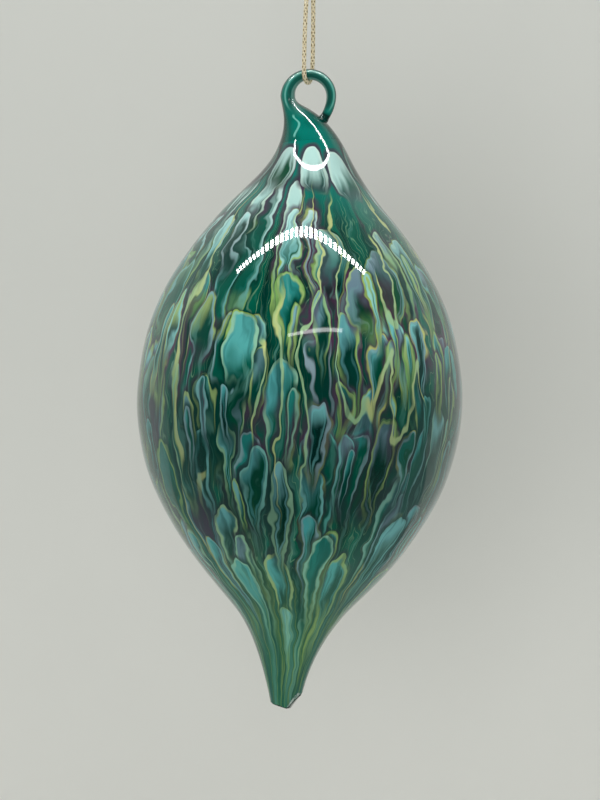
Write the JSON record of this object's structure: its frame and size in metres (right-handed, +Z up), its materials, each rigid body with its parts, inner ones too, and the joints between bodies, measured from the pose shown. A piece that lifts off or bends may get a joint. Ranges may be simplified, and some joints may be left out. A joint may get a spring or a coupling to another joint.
{
  "type": "glass teardrop ornament",
  "caption": "Hand-blown marbled glass teardrop ornament with a drawn tip, a curled clear glass hook and a thin braided metallic hanging cord tied in a loop.",
  "frame": {"origin": "underside of the knot, on the vertical line that the ornament hangs from, where the cord loop is held", "axes": "+Z up along the hanging line, -Y towards the front, which shows the eye of the hook open, +X to the right seen from the front"},
  "size_m": [0.076, 0.076, 0.184],
  "materials": {
    "marbled_glass": "glossy blown glass with fused feathered chips in teal, aqua, lime and plum",
    "teal_glass": "clear deep teal glass, fire polished",
    "gold_cord": "thin braided cord with pale metallic gold thread"
  },
  "bodies": {
    "knot": {"cord_knot": "gold_cord"},
    "cord_loop": {"cord": "gold_cord"},
    "glass": {"blown_body": "marbled_glass", "hook": "teal_glass"}
  },
  "joints": [
    {"name": "cord_turn", "type": "hinge", "parent": "knot", "child": "cord_loop", "pos_m": [0, 0, 0], "axis": [0, 0, 1], "range_deg": [-180, 180]},
    {"name": "eye_swing", "type": "hinge", "parent": "cord_loop", "child": "glass", "pos_m": [0.00035, 0, -0.02272], "axis": [1, 0, 0], "range_deg": [-90, 90]}
  ]
}
